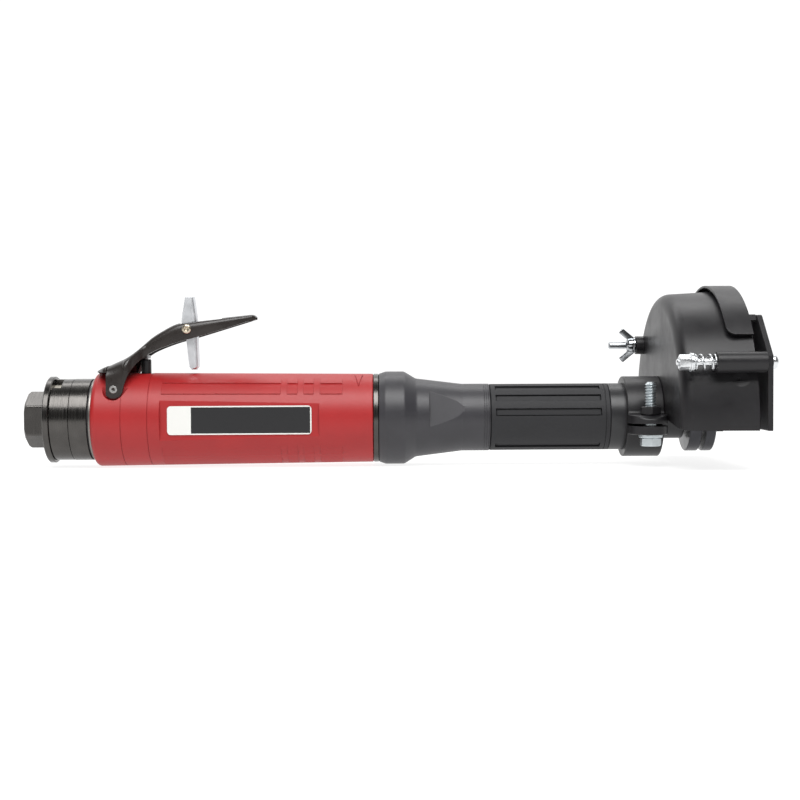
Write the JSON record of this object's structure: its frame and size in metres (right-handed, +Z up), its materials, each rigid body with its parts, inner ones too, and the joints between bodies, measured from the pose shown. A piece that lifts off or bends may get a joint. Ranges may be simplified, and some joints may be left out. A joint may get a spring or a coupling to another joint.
{
  "type": "straight grinder",
  "caption": "Air-driven straight grinder with an extended nose, a throttle lever with a lock-off, and a clamped half-drum wheel guard with a hinged front cover.",
  "frame": {"origin": "on the tool axis, in the rear face of the air-inlet hex", "axes": "+X along the tool axis towards the wheel, +Z up with the throttle lever on top, -Y the side with the data plate and the guard hinge"},
  "size_m": [0.3932, 0.1449, 0.0971],
  "materials": {
    "dark_steel": "black-oxide turned steel",
    "ring_steel": "dark turned steel, satin",
    "bright_steel": "turned steel, satin",
    "zinc": "bright zinc plate",
    "grip_red": "moulded red composite, fine texture",
    "nose_grey": "moulded dark grey composite",
    "grip_black": "moulded black rubber",
    "tube_black": "black-coated steel tube",
    "black_coat": "black powder coat on pressed steel",
    "black_plastic": "black acetal",
    "plate_white": "blank coated plate",
    "cast_alloy": "machined alloy casting",
    "mesh_steel": "sintered metal",
    "vane_brown": "laminated phenolic"
  },
  "bodies": {
    "tool": {"inlet_bushing": "dark_steel", "inlet_screen": "mesh_steel", "silencer": "mesh_steel", "backhead": "ring_steel", "body_seal": "grip_black", "motor_housing": "cast_alloy", "grip_sleeve": "grip_red", "data_plate": "plate_white", "lever_pin": "bright_steel", "plunger_collar": "black_plastic", "plunger_seal": "grip_black", "valve_cap": "cast_alloy", "valve_spring": "zinc", "motor_cylinder": "bright_steel", "rear_end_plate": "bright_steel", "front_end_plate": "bright_steel", "rear_bearing_outer": "bright_steel", "rear_bearing_balls": "bright_steel", "front_bearing_outer": "bright_steel", "front_bearing_balls": "bright_steel", "spindle_bearing_outer": "bright_steel", "spindle_bearing_balls": "bright_steel", "lock_ring": "bright_steel", "nose_housing": "nose_grey", "extension_tube": "tube_black", "extension_grip": "grip_black", "bearing_cap": "dark_steel"},
    "exhaust_ring": {"exhaust_deflector": "ring_steel"},
    "lever": {"throttle_lever": "black_coat", "lock_rivet": "zinc", "lock_spring": "zinc"},
    "lock": {"lock_lever": "zinc"},
    "plunger": {"valve_plunger": "black_plastic", "throttle_valve": "bright_steel"},
    "shaft": {"rotor": "bright_steel", "rotor_vanes": "vane_brown", "rear_bearing_inner": "bright_steel", "front_bearing_inner": "bright_steel", "spindle_bearing_inner": "bright_steel", "drive_coupling": "bright_steel", "spindle": "bright_steel", "rear_flange": "dark_steel", "front_flange": "dark_steel", "spindle_nut": "dark_steel"},
    "guard": {"guard_drum": "black_coat", "guard_collar": "black_coat", "clamp_bolt": "zinc", "clamp_nut": "black_coat", "clamp_washer": "zinc", "hinge_tube": "black_coat", "hinge_spring": "zinc", "latch_boss": "black_coat", "latch_sleeve": "black_coat"},
    "cover_slide": {"hinge_bolt": "zinc", "hinge_nut": "zinc", "hinge_washer": "zinc", "latch_stud": "zinc"},
    "cover": {"cover_plate": "black_coat", "cover_strap": "black_coat"},
    "wing": {"wing_nut": "zinc"}
  },
  "joints": [
    {"name": "throttle_press", "type": "hinge", "parent": "tool", "child": "lever", "pos_m": [0.0496, 0, 0.0168], "axis": [0, 1, 0], "range_deg": [0, 10], "stiffness_Nm_per_rad": 0.6, "springref_deg": -20.05},
    {"name": "lock_swing", "type": "hinge", "parent": "lever", "child": "lock", "pos_m": [0.0875, 0, 0.0491], "axis": [0, 1, 0], "range_deg": [0, 60]},
    {"name": "plunger_push", "type": "slide", "parent": "tool", "child": "plunger", "axis": [0, 0, -1], "range_m": [0, 0.003], "deforming": ["valve_spring"]},
    {"name": "spindle_spin", "type": "hinge", "parent": "tool", "child": "shaft", "pos_m": [0, 0, 0], "axis": [1, 0, 0], "continuous": true},
    {"name": "guard_turn", "type": "hinge", "parent": "tool", "child": "guard", "pos_m": [0, 0, 0], "axis": [1, 0, 0], "continuous": true},
    {"name": "cover_pull", "type": "slide", "parent": "guard", "child": "cover_slide", "axis": [1, 0, 0], "range_m": [0, 0.004], "stiffness_N_per_m": 1500, "springref_m": -0.006, "deforming": ["hinge_spring"]},
    {"name": "cover_swing", "type": "hinge", "parent": "cover_slide", "child": "cover", "pos_m": [0.3873, -0.06809, 0.02975], "axis": [1, 0, 0], "range_deg": [0, 100]},
    {"name": "wing_nut_turn", "type": "hinge", "parent": "guard", "child": "wing", "pos_m": [0.3452, 0.04199, 0.03943], "axis": [1, 0, 0], "continuous": true},
    {"name": "exhaust_turn", "type": "hinge", "parent": "tool", "child": "exhaust_ring", "pos_m": [0, 0, 0], "axis": [1, 0, 0], "continuous": true}
  ],
  "couplings": [
    {"joint": "lock_swing", "follows": "throttle_press", "ratio": 6},
    {"joint": "plunger_push", "follows": "throttle_press", "m_per_rad": 0.0156}
  ]
}
